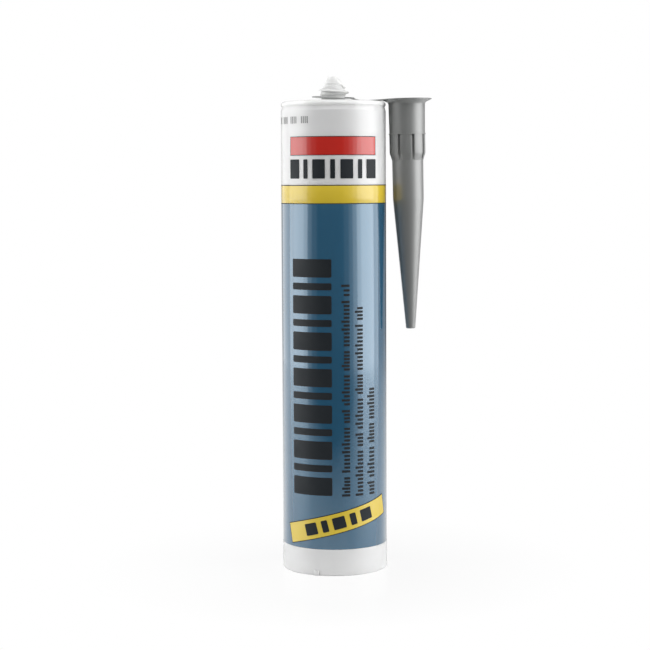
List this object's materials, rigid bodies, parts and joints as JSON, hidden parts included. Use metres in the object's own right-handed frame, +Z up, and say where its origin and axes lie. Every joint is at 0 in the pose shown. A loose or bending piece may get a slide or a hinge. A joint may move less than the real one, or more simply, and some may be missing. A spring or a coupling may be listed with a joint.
{
  "type": "sealant cartridge",
  "caption": "Sealant cartridge for a caulking gun: printed tube with a sliding piston, a threaded sealed spigot and a cone nozzle hung from it by a strap.",
  "frame": {"origin": "centre of the foot's plane, on the axis of the tube", "axes": "+Z up along the tube's axis to the spigot, +X towards the hanging nozzle, -Y the front with the middle of the print"},
  "size_m": [0.0711, 0.0498, 0.2321],
  "materials": {
    "white_hdpe": "semi-gloss",
    "grey_pe": "satin",
    "natural_ldpe": "satin",
    "sealant_paste": "matte",
    "blue_ink": "gloss",
    "yellow_ink": "gloss",
    "red_ink": "gloss",
    "dark_ink": "gloss"
  },
  "bodies": {
    "cartridge": {"cartridge_body": "white_hdpe", "sealant": "sealant_paste", "sealant_neck_plug": "sealant_paste", "print_blue_field": "blue_ink", "print_yellow_band": "yellow_ink", "print_red_bar": "red_ink", "print_yellow_strip": "yellow_ink", "print_header_bars": "dark_ink", "print_title_bars": "dark_ink", "print_text_bars": "dark_ink", "print_strip_bars": "dark_ink"},
    "piston": {"piston": "natural_ldpe"},
    "nozzle": {"nozzle": "grey_pe"}
  },
  "joints": [
    {"name": "piston_slide", "type": "slide", "parent": "cartridge", "child": "piston", "axis": [0, 0, 1], "range_m": [0, 0.182], "deforming": ["sealant"]},
    {"name": "nozzle_swing", "type": "hinge", "parent": "cartridge", "child": "nozzle", "pos_m": [0, 0, 0.22235], "axis": [0, 0, 1], "continuous": true}
  ]
}
